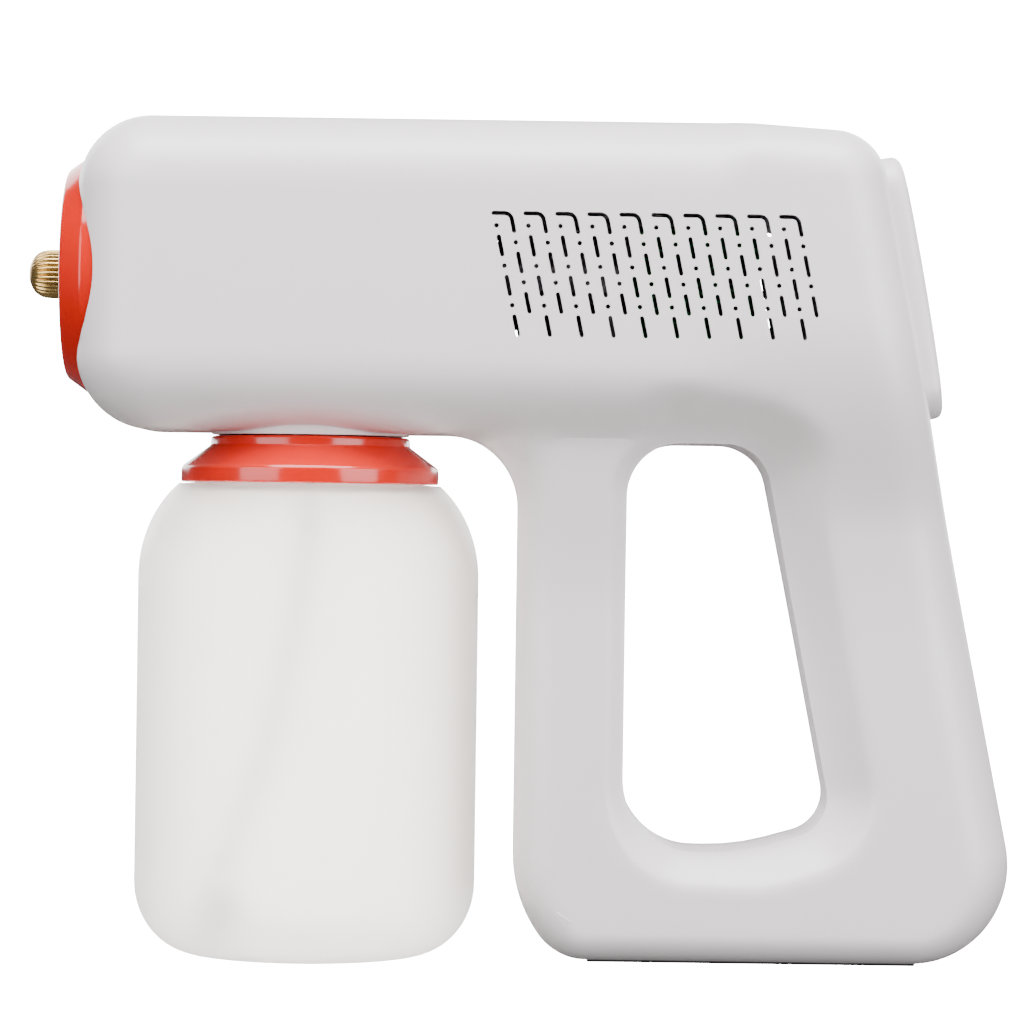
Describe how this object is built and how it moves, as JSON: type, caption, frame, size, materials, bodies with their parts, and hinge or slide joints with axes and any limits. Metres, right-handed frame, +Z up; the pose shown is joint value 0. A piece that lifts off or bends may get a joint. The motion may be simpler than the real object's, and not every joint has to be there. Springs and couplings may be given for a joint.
{
  "type": "cordless disinfectant sprayer",
  "caption": "Pistol-shaped cordless sprayer with a looped handle, a screw-on frosted bottle under the barrel and a knurled nozzle in a coloured front cap.",
  "frame": {"origin": "centre of the bounding box in X and Y, at the height of the surface it stands on", "axes": "+Z up, the nozzle points to -X, the middle plane of the body is Y = 0"},
  "size_m": [0.2717, 0.0942, 0.2296],
  "materials": {
    "shell_white": "satin moulded ABS",
    "gloss_orange": "high gloss",
    "frosted_clear": "frosted translucent",
    "tube_clear": "semi-clear",
    "brass": "turned and knurled",
    "steel": "plain",
    "dark_plastic": "matt",
    "grey_plastic": "matt",
    "dark_rubber": "matt",
    "grey_rubber": "matt",
    "lens": "clear",
    "board": "solder mask",
    "wire_red": "insulation",
    "cell_wrap": "shrink wrap"
  },
  "bodies": {
    "body": {"housing_left": "shell_white", "housing_right": "shell_white", "rear_panel": "shell_white", "neck_collar": "shell_white", "front_cap": "gloss_orange", "bottle_ring": "gloss_orange", "dip_tube": "tube_clear", "inlet_hose": "tube_clear", "outlet_hose": "tube_clear", "nozzle_stem": "brass", "pump_motor": "steel", "button_spring": "steel", "housing_screw_1": "steel", "housing_screw_2": "steel", "housing_screw_3": "steel", "housing_screw_4": "steel", "housing_screw_5": "steel", "pump_head": "dark_plastic", "high_voltage_module": "dark_plastic", "button_switch": "dark_plastic", "charging_socket": "dark_plastic", "bottle_adapter": "grey_plastic", "dip_filter": "grey_plastic", "pump_cradle": "grey_plastic", "battery_holder": "grey_plastic", "base_pad": "dark_rubber", "lens_ring": "lens", "battery_window": "lens", "led_board": "board", "control_board": "board", "high_voltage_lead": "wire_red", "battery_cell_1": "cell_wrap", "battery_cell_2": "cell_wrap"},
    "nozzle_travel": {"nozzle_seal": "dark_rubber"},
    "nozzle": {"nozzle_cap": "brass"},
    "bottle_travel": {"bottle_gasket": "grey_rubber"},
    "bottle": {"bottle": "frosted_clear"},
    "button": {"spray_button": "grey_plastic"},
    "port_cover": {"socket_cover": "grey_rubber"},
    "pump_shaft": {"pump_cam": "steel"}
  },
  "joints": [
    {"name": "nozzle_travel", "type": "slide", "parent": "body", "child": "nozzle_travel", "axis": [-1, 0, 0], "range_m": [0, 0.00151]},
    {"name": "nozzle_turn", "type": "hinge", "parent": "nozzle_travel", "child": "nozzle", "pos_m": [-0.1355, 0, 0.187], "axis": [-1, 0, 0], "range_deg": [0, 720]},
    {"name": "bottle_travel", "type": "slide", "parent": "body", "child": "bottle_travel", "axis": [0, 0, -1], "range_m": [0, 0.00501]},
    {"name": "bottle_turn", "type": "hinge", "parent": "bottle_travel", "child": "bottle", "pos_m": [-0.0571, 0, 0], "axis": [0, 0, -1], "range_deg": [0, 450]},
    {"name": "button_press", "type": "slide", "parent": "body", "child": "button", "axis": [-0.9803, 0, -0.1976], "range_m": [0, 0.0015], "stiffness_N_per_m": 600, "springref_m": -0.0008, "deforming": ["button_spring"]},
    {"name": "port_cover_hinge", "type": "hinge", "parent": "body", "child": "port_cover", "pos_m": [0.13245, 0, 0.04933], "axis": [0, 1, 0], "range_deg": [0, 120]},
    {"name": "pump_shaft_spin", "type": "hinge", "parent": "body", "child": "pump_shaft", "pos_m": [-0.0235, 0, 0.187], "axis": [1, 0, 0], "continuous": true}
  ],
  "couplings": [
    {"joint": "nozzle_travel", "follows": "nozzle_turn", "m_per_rad": 0.00011937},
    {"joint": "bottle_travel", "follows": "bottle_turn", "m_per_rad": 0.00063662}
  ]
}
